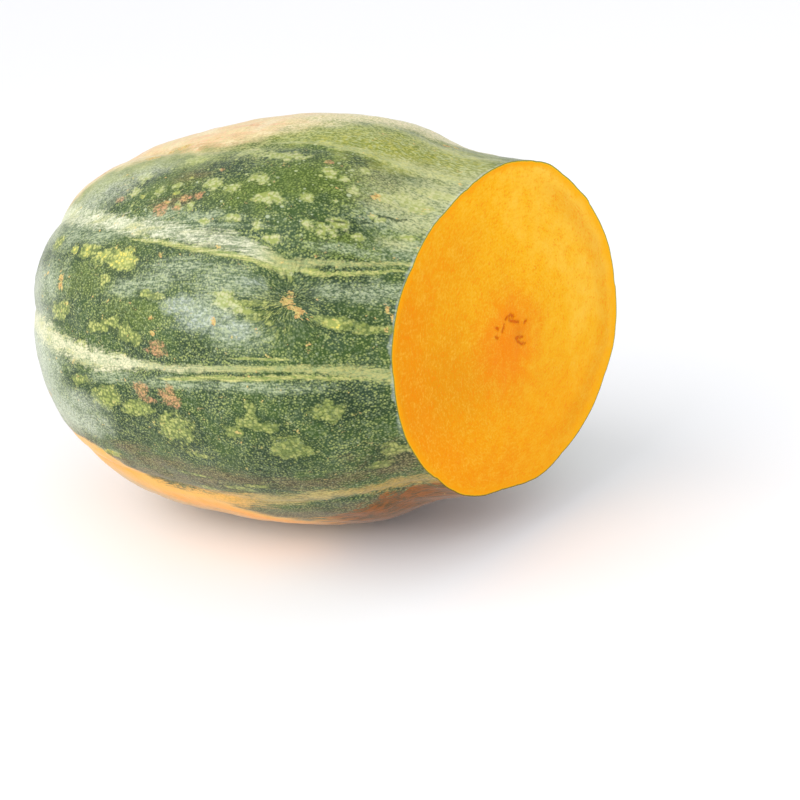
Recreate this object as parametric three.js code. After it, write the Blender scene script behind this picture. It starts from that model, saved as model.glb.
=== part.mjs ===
// A winter squash with a thick solid neck, cut once through the neck and lying on its side.
//
// Millimetres, +Z up. The squash lies along X: the cut neck faces +X, the blossom end faces -X.
// The origin is in the middle of the footprint, on the surface that the squash lies on.
// Rind and flesh grew as one piece, so the squash is one closed solid, whole inside.
//
// A place on the skin is given by two numbers: its distance along the spine behind the centre
// of the cut, and its angle round the spine, 0 on the -Y side and 90 degrees on top.

import * as THREE from 'three';
import { toCreasedNormals } from 'three/addons/utils/BufferGeometryUtils.js';

const { clamp, degToRad, euclideanModulo, lerp, radToDeg, smoothstep } = THREE.MathUtils;

// ---- the cut --------------------------------------------------------------------------

const CUT_HEIGHT = 94;          // centre of the cut above the lowest skin, before it is flattened
const CUT_TURN = 19.3;          // degrees that the cut faces away from +X, towards -Y
const CUT_TIP = 3;              // degrees that the cut leans back, facing slightly up

// ---- the body -------------------------------------------------------------------------

// Half outline of the squash as [distance behind the cut, radius]. The first point lies in
// the part of the neck that was cut off, and the last one mirrors the skin across the spine,
// so that the curve runs square through the blossom end.
const OUTLINE = [
  [-40, 69.5], [0, 70], [26, 74.5], [52, 86], [80, 90.7], [108, 90.3], [136, 86.5],
  [163, 82], [187, 72.5], [207, 55.5], [221, 36], [229, 17], [231.5, 0], [229, -17],
];
const BODY_LENGTH = 210;        // length over which the spine bends
const SPINE_DROP = 21;          // the far end of the spine sags by this much
const DROP_POWER = 2.5;
const SPINE_SWEEP = 7;          // and swings this far towards +Y
const SWEEP_POWER = 2;

// ---- ribs -----------------------------------------------------------------------------

// Ten furrows run from the stem to the blossom end, one at each of these angles.
const FURROWS = [4, 37, 70, 106, 142, 178, 214, 250, 286, 322];
const RIB_HEIGHT_NECK = 1.3;    // from furrow to crest
const RIB_HEIGHT_END = 3;
const RIB_ROUNDNESS = 0.6;      // below 1, crests are broad and furrows narrow
const FURROW_SHARE = 0.65;      // part of a rib's height that lies below the mean radius

// The furrows meet at the blossom scar, which sits above and behind the end of the spine.
const SCAR_RISE = 24;
const SCAR_SWEEP = 18;
const SCAR_SHIFT_FROM = 100;    // the shift builds up between these two distances
const SCAR_SHIFT_TO = 195;
const RIB_FADE_NEAR = 5;        // ribs fade out between these distances from the scar
const RIB_FADE_FAR = 40;

// ---- uneven growth --------------------------------------------------------------------

// Long swells in the skin. Turns is how many crests go round the squash, twist how many
// radians a crest wanders over 100 mm of length, and start the angle in radians.
const SWELLS = [
  { height: 0.45, turns: 2, twist: 1.6, start: 0.6 },
  { height: 0.6, turns: 3, twist: -3.1, start: 3.3 },
  { height: 0.3, turns: 5, twist: 6, start: 4.9 },
  { height: 0.2, turns: 7, twist: 1, start: 1.4 },
];
// Flats and lumps round the neck, which make the outline of the cut uneven.
const NECK_LUMPS = [
  { angle: 33, height: 1.3, halfWidth: 9 },
  { angle: 58, height: -1.1, halfWidth: 8 },
  { angle: 109, height: 1.3, halfWidth: 9 },
  { angle: 140, height: 0.9, halfWidth: 6 },
  { angle: 215, height: 0.9, halfWidth: 40 },
  { angle: 279, height: -0.6, halfWidth: 9 },
  { angle: 328, height: 0.8, halfWidth: 7 },
  { angle: 356, height: -1.1, halfWidth: 10 },
];
const NECK_LUMP_REACH = 30;     // they die away over this length of neck

// Places where the skin is drawn in: a healed pucker in the side, and the blossom scar.
const DENTS = [
  { along: 61, angle: 24, depth: 2.6, reach: 15 },
  { along: 224.5, angle: 127, depth: 3.2, reach: 13 },
];
const FLAT_LEVEL = 1.3;         // skin below this height is pressed flat, where the squash rests
const HEART = new THREE.Vector3(-105, 4, 86);  // dents are drawn in towards this point
const END_FADE = 40;            // swells fade out where the radius falls below this

// ---- fineness of the mesh -------------------------------------------------------------

const COLUMNS = 100;            // round the spine
const ROWS = 46;                // from the cut to the blossom end
const CREASE_ANGLE = 40;

const RIND_COLOUR = 0x40583a;
const RIND_ROUGHNESS = 0.55;

const BISECTION_STEPS = 40;
const UP = new THREE.Vector3(0, 0, 1);

const outline = new THREE.SplineCurve(OUTLINE.map(([along, radius]) => new THREE.Vector2(along, radius)));
const blossomEnd = (OUTLINE.length - 2) / (OUTLINE.length - 1);

const cutCentre = new THREE.Vector3(0, 0, CUT_HEIGHT);
const cutNormal = new THREE.Vector3(
  Math.cos(degToRad(CUT_TIP)) * Math.cos(degToRad(CUT_TURN)),
  -Math.cos(degToRad(CUT_TIP)) * Math.sin(degToRad(CUT_TURN)),
  Math.sin(degToRad(CUT_TIP)),
);
const cutPlane = new THREE.Plane().setFromNormalAndCoplanarPoint(cutNormal, cutCentre);

// The parameter between 0 and the blossom end at which a test turns from false to true.
function firstParameter(test) {
  let low = 0;
  let high = blossomEnd;
  for (let step = 0; step < BISECTION_STEPS; step += 1) {
    const middle = (low + high) / 2;
    if (test(middle)) {
      high = middle;
    } else {
      low = middle;
    }
  }
  return (low + high) / 2;
}

function spinePoint(along) {
  const bend = Math.max(along, 0) / BODY_LENGTH;
  return new THREE.Vector3(
    -along,
    SPINE_SWEEP * bend ** SWEEP_POWER,
    CUT_HEIGHT - SPINE_DROP * bend ** DROP_POWER,
  );
}

// Height of the ribs over the mean skin, negative in the furrows.
function ribHeight(along, radius, angle) {
  const shift = smoothstep(along, SCAR_SHIFT_FROM, SCAR_SHIFT_TO);
  const across = radius * Math.cos(angle) + SCAR_SWEEP * shift;
  const upward = radius * Math.sin(angle) - SCAR_RISE * shift;
  const turn = FURROWS[0] + euclideanModulo(radToDeg(Math.atan2(upward, across)) - FURROWS[0], 360);

  const rib = FURROWS.findLastIndex((furrow) => furrow <= turn);
  const ribStart = FURROWS[rib];
  const ribEnd = FURROWS[rib + 1] ?? FURROWS[0] + 360;
  const crest = Math.sin(Math.PI * (turn - ribStart) / (ribEnd - ribStart)) ** RIB_ROUNDNESS;

  const growth = clamp(along / BODY_LENGTH, 0, 1) ** 2;
  const height = lerp(RIB_HEIGHT_NECK, RIB_HEIGHT_END, growth);
  const fade = smoothstep(Math.hypot(across, upward), RIB_FADE_NEAR, RIB_FADE_FAR);
  return height * fade * (crest - FURROW_SHARE);
}

function swellHeight(along, radius, angle) {
  const fade = smoothstep(radius, 0, END_FADE);
  return SWELLS.reduce((sum, { height, turns, twist, start }) => (
    sum + fade * height * Math.sin(turns * angle + twist * along / 100 + start)
  ), 0);
}

function neckLumpHeight(along, angle) {
  const fade = Math.exp(-((Math.max(along, 0) / NECK_LUMP_REACH) ** 2));
  return NECK_LUMPS.reduce((sum, lump) => {
    const away = euclideanModulo(radToDeg(angle) - lump.angle + 180, 360) - 180;
    return sum + fade * lump.height * Math.exp(-((away / lump.halfWidth) ** 2));
  }, 0);
}

// The skin before any dent, at a parameter of the outline and an angle in radians.
function grownSkin(parameter, angle) {
  const { x: along, y: radius } = outline.getPoint(parameter);
  const forward = spinePoint(along - 1).sub(spinePoint(along + 1)).normalize();
  const sideways = new THREE.Vector3().crossVectors(forward, UP).normalize();
  const upward = new THREE.Vector3().crossVectors(sideways, forward);
  const reach = radius + ribHeight(along, radius, angle)
    + swellHeight(along, radius, angle) + neckLumpHeight(along, angle);
  return spinePoint(along)
    .addScaledVector(sideways, reach * Math.cos(angle))
    .addScaledVector(upward, reach * Math.sin(angle));
}

const dents = DENTS.map(({ along, angle, depth, reach }) => {
  const parameter = firstParameter((value) => outline.getPoint(value).x >= along);
  return { centre: grownSkin(parameter, degToRad(angle)), depth, reach };
});

// The finished skin: dented, and flat where the squash rests on the surface.
function skinPoint(parameter, angle) {
  const point = grownSkin(parameter, angle);
  const pull = dents.reduce((sum, { centre, depth, reach }) => (
    sum + depth * Math.exp(-((point.distanceTo(centre) / reach) ** 2))
  ), 0);
  point.addScaledVector(HEART.clone().sub(point).normalize(), pull);
  point.z = Math.max(point.z, FLAT_LEVEL);
  return point;
}

// One closed surface: rings of skin from the rim of the cut to the blossom end, closed there
// by a single point, and at the rim by a flat fan round the centre of the cut.
function squashGeometry() {
  const points = [cutCentre];
  const triangles = [];
  const angles = Array.from({ length: COLUMNS }, (_, column) => 2 * Math.PI * column / COLUMNS);
  const rims = angles.map((angle) => (
    firstParameter((parameter) => cutPlane.distanceToPoint(skinPoint(parameter, angle)) < 0)
  ));
  const vertex = (row, column) => 1 + row * COLUMNS + (column % COLUMNS);
  const tip = vertex(ROWS, 0);

  for (let row = 0; row < ROWS; row += 1) {
    angles.forEach((angle, column) => {
      points.push(skinPoint(lerp(rims[column], blossomEnd, row / ROWS), angle));
    });
  }
  points.push(skinPoint(blossomEnd, 0));

  for (let column = 0; column < COLUMNS; column += 1) {
    triangles.push(0, vertex(0, column + 1), vertex(0, column));
    for (let row = 0; row < ROWS - 1; row += 1) {
      const [near, nearNext] = [vertex(row, column), vertex(row, column + 1)];
      const [far, farNext] = [vertex(row + 1, column), vertex(row + 1, column + 1)];
      triangles.push(near, nearNext, far, nearNext, farNext, far);
    }
    triangles.push(vertex(ROWS - 1, column), vertex(ROWS - 1, column + 1), tip);
  }

  const geometry = new THREE.BufferGeometry().setFromPoints(points);
  geometry.setIndex(triangles);
  return toCreasedNormals(geometry, degToRad(CREASE_ANGLE));
}

// Moves a geometry so that the origin is under the middle of its bounding box.
function setOnOrigin(geometry) {
  geometry.computeBoundingBox();
  const { min, max } = geometry.boundingBox;
  return geometry.translate(-(min.x + max.x) / 2, -(min.y + max.y) / 2, -min.z);
}

const rind = new THREE.MeshStandardMaterial({ color: RIND_COLOUR, roughness: RIND_ROUGHNESS, metalness: 0 });

const squash = new THREE.Mesh(setOnOrigin(squashGeometry()), rind);
squash.name = 'squash';

const part = new THREE.Group();
part.add(squash);

export default part;
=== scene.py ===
# A winter squash with a thick solid neck, cut once through the neck and lying on its side.
#
# The squash is one closed mesh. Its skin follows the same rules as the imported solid, with a
# finer mesh, and adds what the solid leaves out: the creases of the furrows, the folds round
# the healed pucker, small unevenness and the ring of the blossom scar.
# Markings are painted by node materials. What they need to know about a place on the squash,
# such as how far it is from a stripe, is worked out here and stored as mesh attributes.
#
# The squash is described in millimetres, which squash_mesh turns into metres. The camera, the
# lights and the floor are given in metres.
# A place on the skin is given by its distance along the spine behind the centre of the cut,
# and by its angle round the spine in degrees, 0 on the -Y side and 90 on top. "Turn" is the
# same angle about the line that the furrows keep to, which ends at the blossom scar.

import math
from types import SimpleNamespace

import bpy
import numpy as np
from mathutils import Matrix, Vector


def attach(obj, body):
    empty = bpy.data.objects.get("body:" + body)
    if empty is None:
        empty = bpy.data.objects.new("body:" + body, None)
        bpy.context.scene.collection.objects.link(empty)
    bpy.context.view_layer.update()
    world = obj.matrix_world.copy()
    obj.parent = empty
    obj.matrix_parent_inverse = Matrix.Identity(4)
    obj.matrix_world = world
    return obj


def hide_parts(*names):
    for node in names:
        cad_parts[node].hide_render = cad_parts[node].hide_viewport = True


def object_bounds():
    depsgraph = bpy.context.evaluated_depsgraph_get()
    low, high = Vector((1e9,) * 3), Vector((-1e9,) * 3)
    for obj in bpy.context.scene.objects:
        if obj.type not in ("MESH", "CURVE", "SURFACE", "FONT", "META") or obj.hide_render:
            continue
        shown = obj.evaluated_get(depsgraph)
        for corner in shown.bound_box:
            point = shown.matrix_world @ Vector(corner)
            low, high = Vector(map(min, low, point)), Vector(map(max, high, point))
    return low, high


MM = 0.001

# ---- camera and light -------------------------------------------------------------------

IMAGE_WIDTH = 800
FOCAL_PIXELS = 1300
SENSOR_WIDTH = 36
CUT_PLACE = (0.1042727, -0.0009666, 0.0927)     # the centre of the cut
CAMERA_FROM_CUT = (0.1562, -0.4939, 0.1820)
CAMERA_TURN = 23.24                             # degrees
CAMERA_DOWN = 22.17
CAMERA_ROLL = 3.23

SKY_STRENGTH = 0.8
SUN_STRENGTH = 1.5
SUN_ANGLE = 60                                  # degrees across, for soft shadows
SUN_FROM = (-0.8, -0.7, 0.8)
SUN_DISTANCE = 2
LIGHTS_AIM = (0, 0, 0.09)
# Area lights as (direction, distance, power, width, height). The crest reflects the window,
# and the fill lights the cut.
WINDOW = ((-0.50, -0.82, 0.29), 1.3, 4.0, 0.55, 0.45)
FILL = ((0.85, -0.60, 0.75), 1.6, 6.0, 1.4, 1.4)
FLOOR_SIZE = 14
FLOOR_GAP = 0.0002                              # the floor lies this far below the squash
FLOOR_COLOUR = (0.915, 0.919, 0.945)
FLOOR_ROUGHNESS = 0.6
FLOOR_SPECULAR = 0.2

# ---- the skin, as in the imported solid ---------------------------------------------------

CUT_HEIGHT = 94             # centre of the cut above the lowest skin, before it is flattened
CUT_TURN = 19.3             # degrees that the cut faces away from +X, towards -Y
CUT_TIP = 3                 # degrees that it faces up
# Half outline as [distance behind the cut, radius]. The last point mirrors the skin across the
# spine, so that the curve runs square through the blossom end.
OUTLINE = np.array([
    [-40, 69.5], [0, 70], [26, 74.5], [52, 86], [80, 90.7], [108, 90.3], [136, 86.5],
    [163, 82], [187, 72.5], [207, 55.5], [221, 36], [229, 17], [231.5, 0], [229, -17],
])
BODY_LENGTH = 210           # length over which the spine bends
SPINE_DROP = 21             # the far end of the spine sags by this much
DROP_POWER = 2.5
SPINE_SWEEP = 7             # and swings this far towards +Y
SWEEP_POWER = 2
FURROWS = np.array([4, 37, 70, 106, 142, 178, 214, 250, 286, 322])
RIB_HEIGHT_NECK = 1.3       # from furrow to crest
RIB_HEIGHT_END = 3
RIB_ROUNDNESS = 0.6         # below 1, crests are broad and furrows narrow
FURROW_SHARE = 0.65         # part of a rib's height that lies below the mean radius
SCAR_RISE = 24              # the blossom scar sits this far above the end of the spine
SCAR_SWEEP = 18             # and this far towards +Y
SCAR_SHIFT = (100, 195)     # the shift builds up between these distances
RIB_FADE = (5, 40)          # ribs fade out between these distances from the scar
# Swells are (height, crests round the squash, radians wandered over 100 mm, start).
SWELLS = [(0.45, 2, 1.6, 0.6), (0.6, 3, -3.1, 3.3), (0.3, 5, 6, 4.9), (0.2, 7, 1, 1.4)]
# Lumps round the neck are (angle, height, half width in degrees).
NECK_LUMPS = [
    (33, 1.3, 9), (58, -1.1, 8), (109, 1.3, 9), (140, 0.9, 6), (215, 0.9, 40), (279, -0.6, 9),
    (328, 0.8, 7), (356, -1.1, 10),
]
NECK_LUMP_REACH = 30        # they die away over this length of neck
DENTS = [(61, 24, 2.6, 15), (224.5, 127, 3.2, 13)]      # distance, angle, depth, reach
HEART = np.array([-105.0, 4, 86])                       # dents are drawn in towards this point
FLAT_LEVEL = 1.3            # skin below this height is pressed flat, where the squash rests
END_FADE = 40               # swells fade out where the radius falls below this

# ---- fineness of the mesh ---------------------------------------------------------------

COLUMNS = 350
ROWS = 228
SHOWN_FROM = -65            # angles between which the columns stand closer together
SHOWN_TO = 130
SHOWN_FADE = 15             # degrees over which they come closer
HIDDEN_DENSITY = 0.55
ANGLE_STEPS = 3600          # how finely angles and lengths are summed to place the vertices
OUTLINE_STEPS = 4000
BISECTIONS = 40
SHARP_ANGLE = 50            # degrees, which leaves only the rim of the cut sharp
RIM_RINGS = [0.4, 0.8, 1.3, 2, 3, 4.5, 6.5, 9.5, 13.5, 19, 26, 33, 40, 46]  # mm from the rim
CORE_RADIUS = 21            # mm round the centre of the cut with evenly spaced rings
CORE_RINGS = 19

# ---- markings ---------------------------------------------------------------------------

# Each stripe runs along a furrow: its course as (distance, turn), and its half width in mm
# as (distance, half width).
STRIPES = {
    "upper": (
        [(0, 39.5), (26, 37.5), (33, 36.3), (40, 35), (46, 34.3), (53, 34), (60, 33), (64, 32.5),
         (71, 34.6), (79, 36.6), (87, 37.8), (100, 39), (115, 40.3), (125, 39.6), (137, 38.6),
         (153, 37.2), (167, 36.4), (183, 38.5), (215, 38)],
        [(40, 0.9), (53, 1.2), (60, 2.2), (66, 2.2), (72, 2.7), (80, 3), (100, 3.2),
         (125, 3.6), (137, 3.7), (153, 3.3), (167, 3.8), (185, 5.2), (215, 3.5)],
    ),
    "middle": (
        [(0, 2.5), (26, 4.2), (46, 7), (64, 7), (84, 6.7), (97, 6.5), (117, 4.8), (128, 3.3),
         (138, 1.2), (149, -0.9), (160, -1.7), (173, -1.9), (186, -1), (215, 2)],
        [(0, 2.4), (26, 2.6), (46, 1.5), (64, 1.1), (97, 1.3), (117, 1.4), (128, 1.8), (138, 2.9),
         (149, 4), (173, 4), (186, 5), (215, 3)],
    ),
    "low": (
        [(0, -36.5), (25, -36.9), (40, -36.3), (48, -35), (55, -34.2), (65, -35), (75, -36.2),
         (92, -37.5), (103, -38.8), (117, -41.5), (140, -44), (160, -43), (215, -40)],
        [(0, 3.4), (20, 3.6), (40, 3.4), (55, 2.9), (65, 3.8), (75, 4.2), (92, 5.6), (117, 6.4),
         (140, 6), (170, 5), (215, 3)],
    ),
    "top": (
        [(0, 73), (25, 73.3), (35, 72.3), (40, 71.7), (60, 71.7), (77, 72.3), (90, 72), (215, 70)],
        [(0, 1.6), (20, 2.2), (35, 2.2), (50, 2), (65, 1.6), (78, 0.8), (95, 0), (160, 0),
         (215, 1.5)],
    ),
    "crown": (
        [(0, 91), (14, 89.3), (20, 88), (38, 89.3), (48, 88.7), (60, 88)],
        [(0, 2), (20, 2.6), (40, 2.6), (50, 1.5), (62, 0)],
    ),
    "far_1": (
        [(0, 107), (80, 104), (160, 108), (215, 106)],
        [(0, 1), (60, 1.7), (160, 3.6), (215, 3)],
    ),
    "far_2": (
        [(0, 141), (70, 144), (150, 141), (215, 142)],
        [(0, 1.3), (90, 2.6), (160, 4.2), (215, 3)],
    ),
    "far_3": (
        [(0, 180), (90, 176), (170, 179), (215, 178)],
        [(0, 2.2), (120, 1.4), (170, 4), (215, 3)],
    ),
    "far_4": ([(0, 213), (80, 216), (160, 213), (215, 214)], [(0, 1.4), (110, 3.2), (215, 3)]),
    "far_5": ([(0, 250), (215, 250)], [(0, 2), (110, 1.4), (215, 2)]),
    "far_6": ([(0, 287), (215, 286)], [(0, 1.4), (110, 1.2), (215, 2)]),
}
# Thin strands beside the stripes.
STRANDS_BELOW = {
    "middle": (
        [(20, 2.5), (40, 4.3), (57, 5), (72, 4.3), (85, 4), (98, 4), (108, 3), (125, 0.5)],
        [(26, 0), (40, 0.8), (60, 0.9), (100, 0.9), (112, 0.7), (123, 0)],
    ),
    "upper": (
        [(27, 35), (33, 33.7), (45, 31.7), (52, 31), (57, 31.5)],
        [(14, 0), (28, 0.6), (45, 0.9), (56, 0.9), (60, 0)],
    ),
}
STRANDS_ABOVE = {
    "middle": ([(60, 9.4), (85, 9.2)], [(56, 0), (64, 0.5), (80, 0.5), (88, 0)]),
    "upper": (
        [(66, 31.3), (74, 32.7), (82, 34), (91, 35), (99, 35.7), (108, 36.6), (119, 37),
         (134, 35.1)],
        [(58, 0), (66, 1.1), (90, 1), (120, 1.1), (138, 0)],
    ),
}
STRIPE_APART = 2.5          # mm over which a stripe fades where the next one is as near
COARSEST_COLUMN = 0.055     # radians that two columns of the mesh cover where they stand widest

# Patches as (distance, angle, half length, half height in mm).
YELLOW_PATCHES = [
    (163, 41, 2.4, 1.8), (157, 39.5, 3.4, 3), (152, 39, 4, 2.6), (146, 37, 5.6, 3),
    (141, 35.5, 4.6, 2.6), (135, 34.6, 5.8, 4.4), (130, 33, 2.6, 2.2), (143.7, 30, 2.4, 2),
    (177, 46, 4, 3.4), (172, 23, 6.1, 3.6), (151, 17.2, 3.6, 2), (145, 17, 3.6, 2.2),
    (139, 18, 3.8, 2.4), (134, 15.5, 4.2, 3.2), (129, 13.5, 4.4, 2.8), (122, 25, 3.4, 1.7),
    (150, -3, 8, 4.4), (134, -6, 7.5, 3.4), (116, -11, 8, 7.2), (88, -10, 4.4, 3),
    (78, -3, 2.4, 2.6), (79, -7, 5.4, 3.2), (72, -8.4, 5.4, 2.6), (65, -15, 8.2, 5.2),
    (48, -4, 5.6, 4), (28, -20, 5, 3.2), (35, -25, 4.6, 2.2), (48.5, 19.5, 4.5, 2),
    (44, 18.6, 4.5, 2.4), (40, 19, 4.5, 1.8), (35, 17.8, 4.5, 1.8), (29, 17.8, 5, 1.5),
    (77.7, 22.7, 6, 1.3), (72, 22.6, 4, 1), (77, 20.2, 5, 1.1), (70, 20.5, 4, 1),
    (74.5, 18.8, 3.6, 1.1), (68.5, 18.2, 3, 1.2), (56, 31.8, 4, 1.3), (53.5, 31.4, 3, 1.3),
    (64.6, 29.7, 1.5, 1.3), (120, -34.7, 7, 1.5), (98, -31.7, 8, 1.5), (88, -29.5, 6, 1.2),
    (108, -19.3, 9, 0.8), (120, -28, 10, 0.8), (160, 12, 4, 2), (115, 24, 4, 1.2), (163, 2, 6, 2),
    (140, 9, 3.4, 1.4), (178, -24, 9, 2.8), (187, -22.5, 8, 2.6),
]
PALE_PATCHES = [
    (102, 55, 4.4, 3.8), (92, 53, 3.8, 2.5), (76, 50, 5.8, 2.9), (62, 51, 3.3, 2), (89, 44, 4, 1.9),
    (100, 43, 2.4, 1.8), (78, 42, 2.1, 1.9), (71, 39, 3.6, 1.9), (60, 44, 1.7, 1.5),
    (54, 43, 5, 2.9), (48, 45, 5, 2.6), (42, 43, 2.6, 1.9), (37, 49, 2.7, 1.6), (26, 46, 3, 1.5),
    (47, 56, 2.4, 2.2), (83, 56, 4.6, 3), (126, 55, 3, 2.6), (139, 57, 2.4, 2.8),
    (138, 62, 3.7, 3.2), (114, 49, 2, 2.3), (108, 48, 2, 2), (118.2, 55.7, 2.2, 1.7),
    (118, 67, 5.4, 4), (94, 68, 6.6, 3.4), (78, 65.5, 10, 3.2), (58, 60, 3.2, 3.2),
    (52, 59, 2, 1.7), (47, 64, 2.4, 1.7), (86, 23, 5.8, 3.6), (79, 20.6, 4, 1.8), (28, 58, 8, 4),
    (37, 57, 4, 2.6), (20, 64, 9, 3), (8, 56, 9, 4), (14, 48, 6, 2.4), (64.3, 31.3, 2.6, 1.7),
    (60, 32, 3, 1.4), (62, 29.5, 1.1, 2.6),
]
RUST_PATCHES = [
    (101, 60, 1.1, 1.1), (111.6, 50.3, 2.8, 1.8), (105, 51, 2.2, 1.8), (114.3, 48, 2.2, 1.4),
    (122.2, 48.3, 3.6, 2.8), (120.4, 50.3, 2, 1.4), (145.8, 55, 2.8, 1.3), (118, 11, 5.6, 3.1),
    (122, 10.7, 2.6, 2), (128.9, -0.3, 4, 3.2), (125.9, -3, 3.8, 1.7), (114, -3, 4.4, 2.4),
    (114.8, 0.7, 2.2, 2), (118, -1.2, 2.6, 2), (60.6, 64.3, 1.7, 1.3), (196.5, -6.3, 3, 1.8),
]
CORK_SPOTS = [
    (61.9, 24.5, 1.5, 1.7), (62.6, 23.2, 1.5, 1.2), (60.8, 22.4, 1.2, 0.9), (58.7, 21.8, 1.5, 0.8),
    (56, 21.1, 1.5, 0.8), (58.3, 19.8, 0.6, 0.7), (54.1, 19.9, 0.8, 0.8), (90.2, 17.7, 1, 1.2),
    (170, 32, 1.3, 3.6), (181, 36, 2.6, 0.9), (119, 18.7, 1, 0.9), (118.5, 15, 1.1, 1.1),
    (152, 46, 1, 1), (117, 35, 1.3, 1.2), (132, 77, 5, 1.6), (144, 74, 3, 1.6),
    (40.2, 56.3, 1.4, 1.2), (28.1, 23.3, 0.8, 1.3), (26.5, 21, 0.7, 1.3), (28, 17.7, 0.8, 0.8),
    (50, 83, 1.2, 0.8), (30.3, 93.7, 1.6, 1), (27, 96, 1.2, 0.8),
]
# Pale threads over the green: partly the skin's own, partly painted sheen, most of all at the
# blossom end and along the top of the neck.
HAZE_AND_SHEEN_PATCHES = [
    (46, 27, 9, 3.5), (36, 27, 9, 4), (29, 29, 7, 3.5), (106, 31.5, 16, 4.5), (87, 28, 13, 6),
    (118, 28, 12, 5), (132, 27, 10, 4), (102, 44.5, 16, 2.4), (45, 38.6, 14, 2.2), (77, 26, 7, 4),
    (144, 3, 14, 3), (77, 2, 28, 2.4), (112, 2, 20, 2.6), (98, 42, 22, 1.4), (120, 47, 10, 3),
    (150, 44, 16, 5), (186, -14, 14, 8), (190, -4, 16, 12), (186, 7, 14, 10), (178, 34, 12, 9),
    (168, 47, 18, 8), (196, 16, 14, 12), (17, 66, 18, 12), (20, 56, 16, 8), (12, 77, 18, 8),
    (32, 50, 14, 8), (22, 42, 16, 5), (92, 21, 10, 8), (80, 15, 12, 7), (10, 62, 18, 5),
    (24, 52, 16, 4), (20, 60, 14, 9), (10, 72, 12, 8), (34, 57, 12, 4),
]
BROWN_PATCHES = [
    (100, -27, 26, 5), (60, -28, 30, 4.5), (30, -27, 16, 6), (135, -25, 16, 5), (150, -20, 12, 3),
    (114.5, 58.7, 8, 3.6), (40, -46, 24, 6), (118, 50, 9, 4), (75, -47, 30, 7), (120, -31, 22, 5),
    (20, -24, 20, 9), (145, -33, 16, 6), (162, -27, 12, 4),
]
# Painted sheen: the skin painted pale at the blossom end and along the top of the neck.
LIMB_SHEEN_PATCHES = [
    (200, 12, 24, 40), (192, 8, 12, 16), (194, 36, 12, 10), (190, -12, 12, 7), (188, 56, 12, 12),
    (180, -10, 18, 10), (166, -14, 12, 5), (166, -11, 13, 6), (156, 62, 20, 13), (168, 60, 16, 12),
    (140, 66, 14, 8), (18, 66, 18, 13), (30, 62, 18, 10), (8, 75, 14, 10), (36, 55, 12, 5),
    (22, 52, 12, 6), (28, 73, 16, 8), (28, 43, 8, 3), (168, -6, 14, 6),
]
OLIVE_PATCHES = [
    (62, 76, 26, 12), (40, 75, 16, 9), (66, 58, 18, 12), (120, 56, 14, 8), (136, 36, 10, 8),
    (44, 40, 14, 6), (150, 32, 20, 8), (130, 20, 16, 8), (20, 60, 20, 14), (24, 44, 14, 6),
    (50, 57, 16, 9), (84, 51, 14, 8),
]
SALLOW_PATCHES = [(66, 79, 24, 12), (45, 78, 18, 14), (84, 76, 12, 6), (24, 84, 20, 16)]
SPOTTED_PATCHES = [
    (90, 55, 55, 26), (80, 46, 40, 12), (165, 24, 8, 8), (120, 58, 30, 16), (60, 62, 30, 16),
]
GOLD_PATCHES = [
    (135, 35, 6, 4.2), (146, 37, 3, 2), (163, 41, 2.2, 1.8), (156, 39, 2, 2), (46, 18.5, 4, 1.4),
    (56, 31.8, 3, 1), (167, -24.5, 9, 2.4), (119.7, 50.3, 1.5, 1.2), (134.5, 54.3, 1.6, 1.2),
    (117, 53, 1.4, 1), (113.5, 58.2, 1.6, 0.9),
]
# Pale waxy patches on the crest between the middle and upper stripes, partly a painted highlight
# where the window's reflection lies.
BLOOM_HIGHLIGHT_PATCHES = [(95, 18.5, 13, 8), (82, 16, 9, 5), (106, 22, 9, 5), (76, 28, 6, 3)]

# Patches of each kind, and those that are strewn at random over the side away from the first
# view: how many, between which half lengths, and the number that makes their seed.
PATCHES = {
    "yellow": (YELLOW_PATCHES, 26, (2.5, 9), 1),
    "pale": (PALE_PATCHES, 40, (1.8, 5), 2),
    "rust": (RUST_PATCHES, 9, (1.5, 5), 3),
    "haze": (HAZE_AND_SHEEN_PATCHES, 10, (12, 30), 4),
    "olive": (OLIVE_PATCHES, 4, (10, 20), 5),
    "spotted": (SPOTTED_PATCHES, 6, (20, 40), 6),
    "cork": (CORK_SPOTS, 6, (1, 3), 7),
    "sallow": (SALLOW_PATCHES, 2, (8, 16), 8),
    "gold": (GOLD_PATCHES, 6, (1.5, 4), 9),
    "brown": (BROWN_PATCHES, 4, (6, 16), 10),
    "limb": (LIMB_SHEEN_PATCHES, 0, (), 0),
    "bloom": (BLOOM_HIGHLIGHT_PATCHES, 0, (), 0),
}
STREWN_SEED = 5
STREWN_ALONG = (5, 190)
STREWN_TURNS = (112, 232)
STREWN_SHAPE = (0.45, 0.8)  # a patch's height over its length

# Orange ground: where the squash lay on the soil, and where the sun bleached its top. The
# edges are given as (distance, turn), and the far ones as a turn.
SOIL_EDGE = [
    (0, -40), (20, -40.8), (33, -41.8), (45, -43), (58, -46.5), (70, -51), (80, -52), (88, -50),
    (100, -48), (108, -46), (117, -42.5), (127, -40.5), (140, -41.5), (150, -40), (158, -37),
    (166, -33.5), (173, -30.5), (180, -29), (190, -30.5), (200, -36), (215, -43),
]
SOIL_FAR_EDGE = -122
SUN_EDGE = [
    (0, 112), (20, 102), (40, 94), (60, 88), (75, 82), (85, 77), (100, 73), (135, 70), (154, 62),
    (165, 57), (173, 51), (180, 46), (190, 42), (215, 38),
]
SUN_FAR_EDGE = 133
GROUND_CLIP = 30            # mm from an edge beyond which the distance stays the same

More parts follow.
